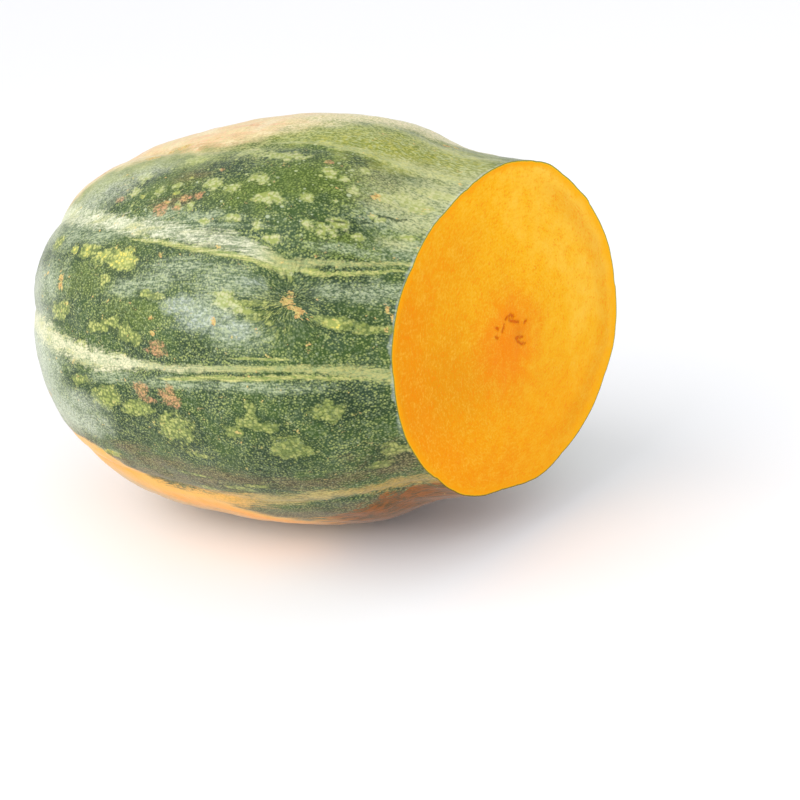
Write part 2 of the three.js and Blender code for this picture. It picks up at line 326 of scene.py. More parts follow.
# A fine crack in the skin above the pucker, as (distance, angle).
CRACK = [
    (63, 46.7), (58.6, 46), (55.3, 45), (51.7, 45.3), (46.8, 46), (43.9, 46.7), (39, 47.7),
    (36.8, 50.3), (33.5, 50.3), (30.2, 50.3), (27.7, 51.7),
]
FAR_AWAY = 30.0             # the value of any distance that is too far to matter

# The turn that materials read, as (turn, value). It jumps nowhere: between -130 and -121 it
# passes through all values, where no marking depends on it.
PLACE_TURN = [(-180, 90), (-130, 90), (-121, -90), (-90, -90), (90, 90), (180, 90)]

# Streaks of specks grow longer towards the neck: (distance, length of a speck over its width).
SPECK_STRETCH = [(-40, 1.6), (20, 1.5), (60, 1.2), (160, 1)]

# Remains of the core in the middle of the cut, as lines in the plane of the cut, in mm to
# the right of and above its centre.
CORE_MARKS = [
    [(-8.2, 7.8), (-6.5, 8.4), (-4.9, 8.9), (-2.7, 7.5)],
    [(-5.6, 6.5), (-2.1, 5.1), (0.6, 4)],
    [(-14.6, 6), (-13.4, 5.1)],
    [(-8.8, 5.8), (-9.5, 4.5), (-10.7, 3.3)],
    [(2.7, -3), (-2.1, -2), (-1.1, -3.8), (1.6, -5.9), (3.9, -6.3)],
    [(5.8, 3), (4.5, 2.9)],
    [(-15, 2), (-14.1, 1.1)],
]

# ---- relief -----------------------------------------------------------------------------

RIPPLE_WAVES = 26
RIPPLE_SPREAD = (0.7, 1.5)          # lengths of its waves, as shares of a ripple's length
RIPPLES = [(0.09, 13, 11), (0.03, 5, 12)]       # height, length, seed
CREASE_DEPTH = 0.3
CREASE_WIDTH = 2.4
CREASE_NEEDS = (0.2, 2.2)           # half width of a stripe: none below, full depth above
CREASE_FADE = (120, 170)            # creases fade out between these distances
PUCKER = DENTS[0][:2]
PLEATS = 11
PLEAT_WANDER = [(1.7, 3), (1.1, 2)]             # radians, times round
PLEAT_HEIGHT = 0.32
PLEAT_RING = 4                      # mm from the pucker to where its pleats are highest
PLEAT_REACH = 7
PLEAT_START = (0.5, 3)
PINCH = 6.6                         # how strongly the pucker draws the grain together
PINCH_HOLLOW = 2.5
PINCH_REACH = 15
GRAIN_COURSE = (-60, 260, 641)      # where specks are laid out: from, to, and how finely
CORK_HEIGHT = 0.5
CORK_EDGE = (0, 0.7)                # patch_field where cork begins, and where it is full
CORK_RIPPLE = (0.8, 0.4, 2.6, 13)   # share that stays, share that varies, length, seed
WART_HEIGHT = 0.45                  # of the golden patches
WART_EDGE = (-0.2, 0.6)
WART_RIPPLE = (0.7, 0.6, 3.2, 15)
BUTTON_RADIUS = 5                   # of the blossom scar's ring
BUTTON_HEIGHT = 0.7
BUTTON_WIDTH = 1.6
BUTTON_RIPPLE = (1, 0.25, 5, 14)
CRACK_DEPTH = 0.35
CRACK_EDGE = (0.3, 1.4)             # mm from its middle
RIM_REACH = 30                      # mm from the cut up to which the rind knows its distance
FLAT_FADE = 1.5                     # mm above the flat over which the relief begins
CORE_MARK_DEPTH = 0.4
CORE_MARK_EDGE = (0.2, 1.1)
CUT_RIPPLES = [(0.05, 14, 21), (0.03, 5, 22)]
CUT_RIM = (0.5, 6)                  # mm from the rim over which the cut's relief begins


# ---- small mathematics ------------------------------------------------------------------

def smooth(value, low, high):
    """0 below low, 1 above high, and a smooth change between them."""
    share = np.clip((value - low) / (high - low), 0, 1)
    return share * share * (3 - 2 * share)


def bell(value, reach):
    return np.exp(-((value / reach) ** 2))


def turned(difference):
    """A difference of angles in degrees, brought between -180 and 180."""
    return np.mod(difference + 180, 360) - 180


def along_path(path, value):
    path = np.array(path, float)
    return np.interp(value, path[:, 0], path[:, 1])


def unit(vectors):
    return vectors / np.linalg.norm(vectors, axis=-1, keepdims=True)


def ripple(points, length, seed):
    """Smooth random unevenness of about unit size, with humps about length apart."""
    random = np.random.default_rng(seed)
    height = np.zeros(len(points))
    for direction in unit(random.normal(size=(RIPPLE_WAVES, 3))):
        wave = 2 * math.pi / (length * random.uniform(*RIPPLE_SPREAD))
        height += np.sin(points @ direction * wave + random.uniform(0, 2 * math.pi))
    return height / math.sqrt(RIPPLE_WAVES / 2)


def varied(points, mean, variation, length, seed):
    """A height's share, which varies from place to place."""
    return mean + variation * ripple(points, length, seed)


def distance_to_line(u, v, corners):
    """Distance of each point (u, v) from a broken line through the corners."""
    best = np.full(u.shape, FAR_AWAY)
    for (au, av), (bu, bv) in zip(corners[:-1], corners[1:]):
        du, dv = bu - au, bv - av
        share = np.clip(((u - au) * du + (v - av) * dv) / (du * du + dv * dv), 0, 1)
        best = np.minimum(best, np.hypot(u - au - share * du, v - av - share * dv))
    return best


# ---- the shape of the skin --------------------------------------------------------------

BLOSSOM_END = (len(OUTLINE) - 2) / (len(OUTLINE) - 1)
CUT_CENTRE = np.array([0, 0, CUT_HEIGHT])
CUT_NORMAL = np.array([
    math.cos(math.radians(CUT_TIP)) * math.cos(math.radians(CUT_TURN)),
    -math.cos(math.radians(CUT_TIP)) * math.sin(math.radians(CUT_TURN)),
    math.sin(math.radians(CUT_TIP)),
])
CUT_RIGHT = unit(np.cross([0, 0, 1], CUT_NORMAL))
CUT_UP = np.cross(CUT_NORMAL, CUT_RIGHT)


def outline(parameter):
    """Distance along the spine and radius, on a smooth curve through the outline's points."""
    last = len(OUTLINE) - 1
    step = last * np.asarray(parameter, float)
    index = np.minimum(np.floor(step).astype(int), last)
    share = (step - index)[..., None]
    before, here = OUTLINE[np.maximum(index - 1, 0)], OUTLINE[index]
    there, after = OUTLINE[np.minimum(index + 1, last)], OUTLINE[np.minimum(index + 2, last)]
    leaving, arriving = (there - before) / 2, (after - here) / 2
    point = (
        (2 * here - 2 * there + leaving + arriving) * share**3
        + (-3 * here + 3 * there - 2 * leaving - arriving) * share**2
        + leaving * share + here
    )
    return point[..., 0], point[..., 1]


def spine_point(along):
    """A point of the spine, which runs from the cut towards -X, sags and swings aside."""
    bend = np.maximum(along, 0) / BODY_LENGTH
    sweep, drop = SPINE_SWEEP * bend**SWEEP_POWER, SPINE_DROP * bend**DROP_POWER
    return np.stack([-along, sweep, CUT_HEIGHT - drop], -1)


def scar_turn(along, radius, angle):
    """Turn in degrees from the first furrow on, and distance from the line to the scar."""
    shift = smooth(along, *SCAR_SHIFT)
    across = radius * np.cos(angle) + SCAR_SWEEP * shift
    upward = radius * np.sin(angle) - SCAR_RISE * shift
    turn = FURROWS[0] + np.mod(np.degrees(np.arctan2(upward, across)) - FURROWS[0], 360)
    return turn, np.hypot(across, upward)


def rib_height(along, radius, angle):
    turn, reach = scar_turn(along, radius, angle)
    edges = np.append(FURROWS, FURROWS[0] + 360)
    rib = np.clip(np.searchsorted(edges, turn, side="right") - 1, 0, len(edges) - 2)
    share = np.clip((turn - edges[rib]) / (edges[rib + 1] - edges[rib]), 0, 1)
    crest = np.sin(math.pi * share) ** RIB_ROUNDNESS
    growth = np.clip(along / BODY_LENGTH, 0, 1) ** 2
    height = RIB_HEIGHT_NECK + (RIB_HEIGHT_END - RIB_HEIGHT_NECK) * growth
    return height * smooth(reach, *RIB_FADE) * (crest - FURROW_SHARE)


def swell_height(along, radius, angle):
    return smooth(radius, 0, END_FADE) * sum(
        height * np.sin(turns * angle + twist * along / 100 + start)
        for height, turns, twist, start in SWELLS
    )


def neck_lump_height(along, angle):
    degrees = np.degrees(angle)
    return bell(np.maximum(along, 0), NECK_LUMP_REACH) * sum(
        height * bell(turned(degrees - at), width) for at, height, width in NECK_LUMPS
    )


def grown_skin(parameter, angle):
    """A point of the skin as it grew, without dents and flat."""
    along, radius = outline(parameter)
    forward = unit(spine_point(along - 1) - spine_point(along + 1))
    sideways = unit(np.cross(forward, [0, 0, 1.0]))
    upward = np.cross(sideways, forward)
    reach = radius + rib_height(along, radius, angle) + swell_height(along, radius, angle)
    reach = reach + neck_lump_height(along, angle)
    return (
        spine_point(along) + (reach * np.cos(angle))[..., None] * sideways
        + (reach * np.sin(angle))[..., None] * upward
    )


def first_parameter(test, shape=()):
    """The parameter between 0 and the blossom end at which a test turns from false to true."""
    low, high = np.zeros(shape), np.full(shape, BLOSSOM_END)
    for _ in range(BISECTIONS):
        middle = (low + high) / 2
        passed = test(middle)
        high = np.where(passed, middle, high)
        low = np.where(passed, low, middle)
    return (low + high) / 2


def dent_centres():
    centres = []
    for along, angle, depth, reach in DENTS:
        parameter = first_parameter(lambda value, at=along: outline(value)[0] >= at)
        centres.append((grown_skin(parameter, math.radians(angle)), depth, reach))
    return centres


def skin_point(parameter, angle, dents):
    point = grown_skin(parameter, angle)
    pull = sum(
        depth * bell(np.linalg.norm(point - centre, axis=-1), reach)
        for centre, depth, reach in dents
    )
    point = point + pull[..., None] * unit(HEART - point)
    point[..., 2] = np.maximum(point[..., 2], FLAT_LEVEL)
    return point


# ---- the fine mesh ----------------------------------------------------------------------

def column_angles():
    """Angles of the columns in radians, closer together on the side of the first view."""
    degrees = np.linspace(-180, 180, ANGLE_STEPS + 1)
    begun = smooth(degrees, SHOWN_FROM - SHOWN_FADE, SHOWN_FROM)
    ended = smooth(degrees, SHOWN_TO, SHOWN_TO + SHOWN_FADE)
    density = HIDDEN_DENSITY + (1 - HIDDEN_DENSITY) * begun * (1 - ended)
    total = np.concatenate([[0], np.cumsum((density[1:] + density[:-1]) / 2)])
    wanted = np.linspace(0, total[-1], COLUMNS, endpoint=False)
    return np.radians(np.interp(wanted, total, degrees))


def skin_grid():
    """Parameter and angle of every skin vertex, row by row from the rim, evenly spaced along."""
    dents = dent_centres()
    angles = column_angles()
    rims = first_parameter(
        lambda value: (skin_point(value, angles, dents) - CUT_CENTRE) @ CUT_NORMAL < 0, angles.shape
    )
    fine = np.linspace(0, BLOSSOM_END, OUTLINE_STEPS + 1)
    steps = np.hypot(*np.diff(np.stack(outline(fine)), axis=1))
    lengths = np.concatenate([[0], np.cumsum(steps)])
    starts = np.interp(rims, fine, lengths)
    share = np.arange(ROWS)[:, None] / ROWS
    parameters = np.interp(starts + (lengths[-1] - starts) * share, lengths, fine)
    return parameters, np.broadcast_to(angles, parameters.shape), dents


def triangles_and_quads():
    """Faces of the skin, row by row, then of the cut, ring by ring from the rim."""
    columns = np.arange(COLUMNS)
    following = (columns + 1) % COLUMNS
    tip = ROWS * COLUMNS
    rings = [0] + [tip + 1 + ring * COLUMNS for ring in range(len(RIM_RINGS) + CORE_RINGS)]
    centre = rings[-1] + COLUMNS

    def faces(*corners):
        return np.stack(corners, 1).tolist()

    skin, cut = [], []
    for near in range(0, tip - COLUMNS, COLUMNS):
        far = near + COLUMNS
        skin += faces(near + columns, near + following, far + following, far + columns)
    last = tip - COLUMNS
    skin += faces(last + columns, last + following, np.full(COLUMNS, tip))
    for outer, inner in zip(rings, rings[1:]):
        cut += faces(outer + following, outer + columns, inner + columns, inner + following)
    cut += faces(rings[-1] + following, rings[-1] + columns, np.full(COLUMNS, centre))
    return skin, cut


def outward_normals(points):
    """Outward directions of the skin's vertices, from their neighbours. Rows by columns."""
    round_it = np.roll(points, -1, axis=1) - np.roll(points, 1, axis=1)
    along_it = np.gradient(points, axis=0)
    return unit(np.cross(along_it, round_it))


# ---- where the markings are -------------------------------------------------------------

def nearest_stripe(stripes, along, turn, reach):
    """Signed distance in mm to the nearest stripe of a set, and its half width there."""
    away, widths = [], []
    for course, half_widths in stripes.values():
        signed = np.radians(turned(turn - along_path(course, along))) * reach
        away.append(np.clip(signed, -FAR_AWAY, FAR_AWAY))
        widths.append(along_path(half_widths, along))
    away, widths = np.stack(away), np.stack(widths)
    order = np.sort(np.abs(away), axis=0)
    nearest = np.abs(away).argmin(axis=0)[None]
    spacing = COARSEST_COLUMN * np.maximum(reach, 1)
    fade = smooth(order[1] - order[0], spacing, spacing + STRIPE_APART)
    away, widths = (np.take_along_axis(values, nearest, 0)[0] for values in (away, widths))
    return away, widths * fade


def patch_field(patches, along, angle, radius):
    """1 in the middle of a patch, 0 at its edge and -1 well outside every patch."""
    field = np.full(along.shape, -1.0)
    for at, round_at, half_length, half_height in patches:
        away = np.radians(turned(angle - round_at)) * radius
        field = np.maximum(field, 1 - np.hypot((along - at) / half_length, away / half_height))
    return field


def strewn_patches(count, lengths, seed):
    """Random patches on the far side, as (distance, turn, half length, half height)."""
    random = np.random.default_rng(STREWN_SEED + seed)
    patches = []
    for _ in range(count):
        length = random.uniform(*lengths)
        along, turn = random.uniform(*STREWN_ALONG), random.uniform(*STREWN_TURNS)
        patches.append((along, turn, length, length * random.uniform(*STREWN_SHAPE)))
    return patches


def ground_field(along, turn, reach):
    """How far inside the orange ground a place is, in mm, negative outside."""
    wrapped = turned(turn)
    soil = np.minimum(wrapped - SOIL_FAR_EDGE, along_path(SOIL_EDGE, along) - wrapped)
    sun = np.minimum(SUN_FAR_EDGE - wrapped, wrapped - along_path(SUN_EDGE, along))
    millimetres = np.radians(1) * np.maximum(reach, 1)
    return [np.clip(zone * millimetres, -GROUND_CLIP, GROUND_CLIP) for zone in (soil, sun)]


def crack_distance(along, angle, radius):
    """Distance in mm from the crack, measured on the unrolled skin."""
    corners = [
        (at, math.radians(round_at) * float(np.interp(at, OUTLINE[:-1, 0], OUTLINE[:-1, 1])))
        for at, round_at in CRACK
    ]
    return distance_to_line(along, angle * radius, corners)


def grain_field(along, radius, angle, away):
    """Places for the noises: shortened where specks are long, and drawn in to the pucker."""
    course = np.linspace(*GRAIN_COURSE)
    steps = np.diff(course) / along_path(SPECK_STRETCH, course[:-1])
    run = np.interp(along, course, np.concatenate([[0], np.cumsum(steps)]))
    drawn = 1 + PINCH * bell(away, PINCH_REACH) / (away + PINCH_HOLLOW)
    centre = math.radians(PUCKER[1])
    grain_angle = centre + (angle - centre) * drawn
    return run, radius * np.cos(grain_angle), radius * np.sin(grain_angle)


def skin_fields(along, radius, angle, rim):
    """Everything that the rind's material asks about a place, as three numbers each."""
    turn, reach = scar_turn(along, radius, angle)
    degrees = np.degrees(angle)
    across = PUCKER[0] - along
    upward = np.radians(turned(degrees - PUCKER[1])) * radius

    def patches(*kinds):
        fields = []
        for placed, count, lengths, seed in (PATCHES[kind] for kind in kinds):
            strewn = patch_field(strewn_patches(count, lengths, seed), along, turn, reach)
            fields.append(np.maximum(patch_field(placed, along, degrees, radius), strewn))
        return fields

    def stripes(paths):
        return nearest_stripe(paths, along, turn, reach)

    return {
        "grain": grain_field(along, radius, angle, np.hypot(across, upward)),
        "stripe": (*stripes(STRIPES), reach),
        "strands": (*stripes(STRANDS_BELOW), crack_distance(along, angle, radius)),
        "strands_above": (*stripes(STRANDS_ABOVE), *patches("sallow")),
        "patches": patches("yellow", "pale", "rust"),
        "tints": patches("haze", "olive", "bloom"),
        "ground": (*ground_field(along, turn, reach), *patches("spotted")),
        "details": patches("gold", "brown", "limb"),
        "place": (along, np.interp(turned(turn), *zip(*PLACE_TURN)), rim),
        "pucker": (across, upward, *patches("cork")),
    }


def skin_relief(points, along, fields):
    """Height in mm to add to the skin, outwards."""
    height = sum(size * ripple(points, length, seed) for size, length, seed in RIPPLES)
    stripe, width, reach = fields["stripe"]
    crease = CREASE_DEPTH * smooth(width, *CREASE_NEEDS) * (1 - smooth(along, *CREASE_FADE))
    height -= crease * bell(stripe, CREASE_WIDTH)

    across, upward, cork = fields["pucker"]
    away, round_it = np.hypot(across, upward), np.arctan2(upward, across)
    wander = sum(size * np.sin(times * round_it) for size, times in PLEAT_WANDER)
    fold = (1 + np.cos(PLEATS * round_it + wander)) / 2
    fold = fold * bell(away - PLEAT_RING, PLEAT_REACH) * smooth(away, *PLEAT_START)
    height -= PLEAT_HEIGHT * fold
    height += CORK_HEIGHT * smooth(cork, *CORK_EDGE) * varied(points, *CORK_RIPPLE)

    gold = fields["details"][0]
    height += WART_HEIGHT * smooth(gold, *WART_EDGE) * varied(points, *WART_RIPPLE)
    height -= CRACK_DEPTH * (1 - smooth(fields["strands"][2], *CRACK_EDGE))
    ring = bell(reach - BUTTON_RADIUS, BUTTON_WIDTH)
    return height + BUTTON_HEIGHT * ring * varied(points, *BUTTON_RIPPLE)


# ---- the cut ----------------------------------------------------------------------------

def cut_rings(rim):
    """Points of the cut, ring by ring from the rim inwards, and how far each is from the rim."""
    radius = np.linalg.norm(rim - CUT_CENTRE, axis=1)
    core = np.linspace(CORE_RADIUS, 0, CORE_RINGS + 1)[:-1]
    whole = RIM_RINGS[-1] + core[0] - core[1]
    depths = [inset / whole * (radius - CORE_RADIUS) for inset in RIM_RINGS]
    depths += [radius - left for left in core]
    rings = [rim + (CUT_CENTRE - rim) * (depth / radius)[:, None] for depth in depths]
    return np.concatenate(rings), np.concatenate(depths)


def cut_fields(points, depth):
    """Everything that the flesh's material asks about a place, as three numbers each."""
    right, up = (points - CUT_CENTRE) @ CUT_RIGHT, (points - CUT_CENTRE) @ CUT_UP
    marks = np.min([distance_to_line(right, up, line) for line in CORE_MARKS], axis=0)
    return {"cut": (right, up, depth), "core": (marks, marks * 0, marks * 0)}


# ---- the whole mesh ---------------------------------------------------------------------

def fitted(points, low, high):
    """Points moved and scaled a little, so that they fill the box between low and high."""
    from_low, from_high = points.min(axis=0), points.max(axis=0)
    return low + (points - from_low) * (high - low) / (from_high - from_low)


def add_attribute(mesh, name, columns):
    values = np.stack([np.asarray(column, float) for column in columns], axis=1)
    layer = mesh.attributes.new(name, "FLOAT_VECTOR", "POINT")
    layer.data.foreach_set("vector", values.astype(np.float32).ravel())


def skin_with_relief():
    """Points of the skin row by row, the point at its tip, and the fields of the rows."""
    parameters, angles, dents = skin_grid()
    surface = skin_point(parameters, angles, dents)
    tip = skin_point(np.array(BLOSSOM_END), np.array(0.0), dents)
    normals = outward_normals(surface).reshape(-1, 3)
    along, radius = (part.ravel() for part in outline(parameters))
    flat = surface.reshape(-1, 3)
    rim = np.minimum((CUT_CENTRE - flat) @ CUT_NORMAL, RIM_REACH)
    fields = skin_fields(along, radius, angles.ravel(), rim)
    shift = normals * skin_relief(flat, along, fields)[:, None]
    shift[:COLUMNS] -= (shift[:COLUMNS] @ CUT_NORMAL)[:, None] * CUT_NORMAL
    shift *= smooth(flat[:, 2], FLAT_LEVEL, FLAT_LEVEL + FLAT_FADE)[:, None]
    return flat + shift, tip, fields


def squash_points():
    """All points: the skin, its tip and the cut. With the fields that the materials read."""
    skin, tip, skin_values = skin_with_relief()
    rim = skin[:COLUMNS]
    rings, depths = cut_rings(rim)
    centre_depth = np.linalg.norm(rim - CUT_CENTRE, axis=1).mean()
    points = np.concatenate([skin, tip[None], rings, CUT_CENTRE[None]])
    first = len(skin) + 1
    cut_values = cut_fields(points, np.concatenate([np.zeros(first), depths, [centre_depth]]))

    cut = points[first:]
    height = sum(size * ripple(cut, length, seed) for size, length, seed in CUT_RIPPLES)
    height -= CORE_MARK_DEPTH * (1 - smooth(cut_values["core"][0][first:], *CORE_MARK_EDGE))
    height *= smooth(cut_values["cut"][2][first:], *CUT_RIM)
    points[first:] = cut + height[:, None] * CUT_NORMAL

    padding = (0, len(points) - len(skin))
    fields = {
        name: [np.pad(column, padding, mode="edge") for column in columns]
        for name, columns in skin_values.items()
    }
    return points, fields | cut_values


def squash_mesh(name, low, high):
    points, fields = squash_points()
    skin_faces, cut_faces = triangles_and_quads()
    mesh = bpy.data.meshes.new(name)
    mesh.from_pydata(fitted(points * MM, low, high).tolist(), [], skin_faces + cut_faces)
    mesh.polygons.foreach_set("material_index", [0] * len(skin_faces) + [1] * len(cut_faces))
    mesh.polygons.foreach_set("use_smooth", [True] * len(mesh.polygons))
    mesh.set_sharp_from_angle(angle=math.radians(SHARP_ANGLE))
    for attribute, columns in fields.items():
        add_attribute(mesh, attribute, columns)
    mesh.update()
    return mesh


# ---- node materials ---------------------------------------------------------------------

# From here on, s is the shader that is being made, and v holds the values that the functions
# of one material share. Numbers set against a place are in mm or degrees. Numbers set against
# a noise, a random number or a coat of colour are shares.

COAT_ROUGHNESS = 0.28
SHEEN_ROUGHNESS = 0.35


class Value:
    """What a node gives out. Arithmetic on it makes further nodes."""

    def __init__(self, shader, socket):
        self.shader = shader
        self.socket = socket

    def __add__(self, other):
        return self.shader.math("ADD", self, other)

    def __sub__(self, other):
        return self.shader.math("SUBTRACT", self, other)

    def __rsub__(self, other):
        return self.shader.math("SUBTRACT", other, self)

    def __mul__(self, other):
        return self.shader.math("MULTIPLY", self, other)

    def __truediv__(self, other):
        return self.shader.math("DIVIDE", self, other)

    def __abs__(self):
        return self.shader.math("ABSOLUTE", self)


class Shader:
    """A node material, with a short way to write each kind of node."""

    def __init__(self, name):
        self.material = bpy.data.materials.new(name)
        self.material.use_nodes = True
        self.tree = self.material.node_tree
        self.surface = self.tree.nodes["Principled BSDF"]

    def feed(self, node, inputs):
        """Links or sets inputs of a node, given by name or number."""
        for key, value in inputs.items():
            socket = node.inputs[key]
            if isinstance(value, Value):
                self.tree.links.new(value.socket, socket)
            elif socket.type == "RGBA":
                socket.default_value = (*value, 1)
            else:
                socket.default_value = value

    def node(self, kind, inputs, **settings):
        """The outputs of a new node."""
        node = self.tree.nodes.new(kind)
        for key, value in settings.items():
            setattr(node, key, value)
        self.feed(node, inputs)
        return [Value(self, socket) for socket in node.outputs]

    def math(self, operation, *values):
        return self.node("ShaderNodeMath", dict(enumerate(values)), operation=operation)[0]

    def most(self, first, *others):
        for other in others:
            first = self.math("MAXIMUM", first, other)
        return first

    def length(self, x, y):
        return self.math("SQRT", x * x + y * y)

    def vector(self, *numbers):
        return self.node("ShaderNodeCombineXYZ", dict(enumerate(numbers)))[0]

    def parts(self, vector):
        return self.node("ShaderNodeSeparateXYZ", {0: vector})

    def scaled(self, vector, factors):
        return self.node("ShaderNodeVectorMath", {0: vector, 1: factors}, operation="MULTIPLY")[0]

    def attribute(self, name):
        _, vector, *_ = self.node("ShaderNodeAttribute", {}, attribute_name=name)
        return vector

    def three(self, name):
        """The three numbers that the mesh stores under a name."""
        return self.parts(self.attribute(name))

    def noise(self, vector, size, detail=2, roughness=0.5):
        """Noise from 0 to 1 with features about size long."""
        inputs = {"Vector": vector, "Scale": 1 / size, "Detail": detail, "Roughness": roughness}
        return self.node("ShaderNodeTexNoise", inputs)[0]

    def uneven(self, *place_and_size):
        """Noise from -0.5 to 0.5."""
        return self.noise(*place_and_size) - 0.5

    def cells(self, vector, size):
        """Distance to the nearest cell's centre in cell sizes, and two random numbers of it."""
        inputs = {"Vector": vector, "Scale": 1 / size}
        distance, colour, *_ = self.node("ShaderNodeTexVoronoi", inputs)
        return distance, *self.parts(colour)[:2]

    def step(self, value, low, high, start=0, end=1):
        """Start below low, end above high, and a smooth change between them."""
        inputs = dict(enumerate((value, low, high, start, end)))
        return self.node("ShaderNodeMapRange", inputs, interpolation_type="SMOOTHSTEP")[0]

    def fall(self, value, low, high):
        """1 below low, 0 above high, and a smooth change between them."""
        return self.step(value, low, high, 1, 0)

    def within(self, value, rising, falling):
        """1 between two ranges and 0 outside them. It rises over one and falls over the other."""
        return self.step(value, *rising) * self.fall(value, *falling)

    def between(self, share, first, second):
        """A number between two others."""
        return self.node("ShaderNodeMix", {0: share, 2: first, 3: second}, data_type="FLOAT")[0]

    def mix(self, share, first, second):
        """A colour between two others."""
        return self.node("ShaderNodeMix", {0: share, 6: first, 7: second}, data_type="RGBA")[2]

    def layers(self, colour, *coats):
        """A colour under coats, each given as (share, colour)."""
        for share, coat in coats:
            colour = self.mix(share, colour, coat)
        return colour

    def finish(self, colour, roughness, height, specular, coat=0, sheen=0):
        """Height is in mm. The last three are the same all over."""
        bump = self.node("ShaderNodeBump", {"Strength": 1, "Distance": MM, "Height": height})
        self.feed(self.surface, {
            "Base Color": colour,
            "Roughness": roughness,
            "Normal": bump[0],
            "Specular IOR Level": specular,
            "Coat Weight": coat,
            "Coat Roughness": COAT_ROUGHNESS,
            "Sheen Weight": sheen,
            "Sheen Roughness": SHEEN_ROUGHNESS,
        })
        return self.material


# ---- the rind ---------------------------------------------------------------------------

RIND_ROUGHNESS = 0.42
CORK_ROUGHNESS = 0.72
RIND_SPECULAR = 0.18
RIND_COAT = 0.05
RIND_SHEEN = 0.2

# How far apart things stand, in mm.
FINE_SPECKS = 0.74
BRIGHT_SPECKS = 1.6
SPOTS = 3.6
CLUMPS = 1.3

DEEP_GREEN = (0.016, 0.038, 0.012)
LEAF_GREEN = (0.038, 0.078, 0.014)
BLUE_GREEN = (0.03, 0.06, 0.034)
OLIVE_GREEN = (0.085, 0.125, 0.012)
SALLOW_GREEN = (0.19, 0.22, 0.02)
SPECK_GREEN = (0.17, 0.225, 0.062)
SPECK_BLUE = (0.15, 0.2, 0.095)
SPECK_YELLOW = (0.4, 0.44, 0.15)
SPECK_WHITE = (0.38, 0.44, 0.28)
SPECK_OLIVE = (0.21, 0.29, 0.035)
SPECK_SALLOW = (0.46, 0.44, 0.08)
PATCH_DARK = (0.125, 0.165, 0.04)
PATCH_GREEN = (0.3, 0.345, 0.085)
PATCH_YELLOW = (0.48, 0.49, 0.15)
PATCH_GOLD = (0.72, 0.61, 0.11)
PATCH_PALE = (0.46, 0.5, 0.23)
PATCH_CREAM = (0.53, 0.525, 0.26)
# Colours of the pale threads; the light one is partly painted sheen.
HAZE_DARK = (0.1, 0.15, 0.08)
HAZE_SHEEN_LIGHT = (0.48, 0.54, 0.35)
# Pale of the painted sheen at the blossom end and along the top of the neck.
LIMB_SHEEN_PALE = (0.6, 0.64, 0.5)
# Colours of the waxy crest patches, partly a painted highlight; the white also paints the highlight
# on the rim of the cut.
BLOOM_HIGHLIGHT_GREY = (0.26, 0.31, 0.25)
BLOOM_HIGHLIGHT_WHITE = (0.55, 0.61, 0.57)
STRIPE_CREAM = (0.78, 0.77, 0.57)
STRIPE_IVORY = (0.82, 0.75, 0.49)
STRIPE_DARK = (0.34, 0.245, 0.08)
STRIPE_SHADE = (0.42, 0.47, 0.28)
STRIPE_OLIVE = (0.46, 0.435, 0.135)
STRIPE_YELLOW = (0.58, 0.55, 0.2)
STRIPE_GREEN = (0.22, 0.29, 0.07)
STRIPE_TAN = (0.53, 0.345, 0.08)
STRIPE_SAND = (0.61, 0.49, 0.17)
SOIL_ORANGE = (0.94, 0.39, 0.04)
SOIL_YELLOW = (0.85, 0.45, 0.09)
SOIL_TAN = (0.6, 0.34, 0.08)
# Brown under the neck, partly the skin's own and partly painted shade.
SOIL_BROWN_SHADED = (0.27, 0.078, 0)
SOIL_DULL_SHADED = (0.085, 0.046, 0.006)
SOIL_EARTH = (0.48, 0.34, 0.16)
SUN_TAN = (0.76, 0.5, 0.26)
SUN_PINK = (0.78, 0.42, 0.24)
SUN_RUST = (0.52, 0.27, 0.1)
SUN_PALE = (0.8, 0.68, 0.43)
SUN_OLIVE = (0.5, 0.5, 0.19)
SUN_YELLOW = (0.74, 0.6, 0.3)
RUST_PINK = (0.52, 0.25, 0.13)
RUST_ORANGE = (0.56, 0.33, 0.14)
RUST_BROWN = (0.24, 0.17, 0.07)
BROWN_GREEN = (0.075, 0.056, 0.022)
SPECK_BROWN = (0.27, 0.215, 0.095)
CORK_TAN = (0.64, 0.4, 0.15)
CORK_YELLOW = (0.6, 0.48, 0.16)
CORK_BROWN = (0.38, 0.2, 0.06)
BUTTON_TAN = (0.52, 0.4, 0.22)
BUTTON_BROWN = (0.23, 0.15, 0.07)
BUTTON_DARK = (0.06, 0.04, 0.02)


def rind_places(s):
    """What the mesh tells about a place, as skin_fields names it."""
    v = SimpleNamespace(grain=s.attribute("grain"))
    v.stripe, v.stripe_width, v.end = s.three("stripe")
    v.below, v.below_width, v.crack = s.three("strands")
    v.above, v.above_width, v.sallow = s.three("strands_above")
    v.yellow, v.pale, v.rust = s.three("patches")
    v.haze, v.olive, v.bloom = s.three("tints")
    v.soil, v.sun, v.spotted = s.three("ground")
    v.across, v.upward, v.cork = s.three("pucker")
    v.gold, v.brown, v.limb = s.three("details")
    v.along, v.turn, v.rim = s.three("place")
    return v


